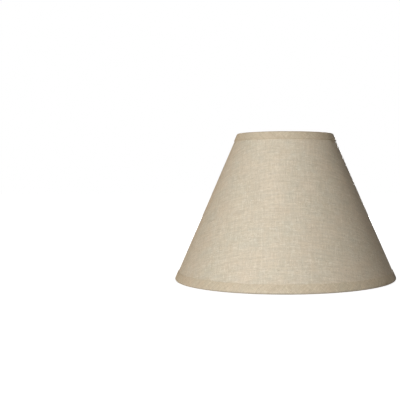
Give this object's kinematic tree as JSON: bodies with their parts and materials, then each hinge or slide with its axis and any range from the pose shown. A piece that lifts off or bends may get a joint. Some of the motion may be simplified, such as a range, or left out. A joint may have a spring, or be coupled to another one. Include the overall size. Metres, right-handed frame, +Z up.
{
  "type": "lamp shade",
  "caption": "Empire hardback lamp shade of coarse linen on a stiff liner, with folded cloth trims on both rims and a recessed spider fitter for a harp.",
  "frame": {"origin": "on the floor under the shade's centre, in the plane that the bottom rim rests on", "axes": "+Z up along the shade's axis, narrow rim at the top; +Y towards the lap seam at the back"},
  "size_m": [0.4088, 0.4104, 0.2687],
  "materials": {
    "linen": "coarse natural linen, matt, with slubs",
    "linen_trim": "the same linen folded into a narrow strip",
    "styrene": "translucent white sheet, satin",
    "steel": "zinc-plated wire and washer"
  },
  "bodies": {
    "root": {"fabric_cover": "linen", "styrene_liner": "styrene", "top_trim": "linen_trim", "bottom_trim": "linen_trim", "top_ring": "steel", "bottom_ring": "steel", "fitter_arm_1": "steel", "fitter_arm_2": "steel", "fitter_arm_3": "steel", "fitter_washer": "steel"}
  },
  "joints": []
}
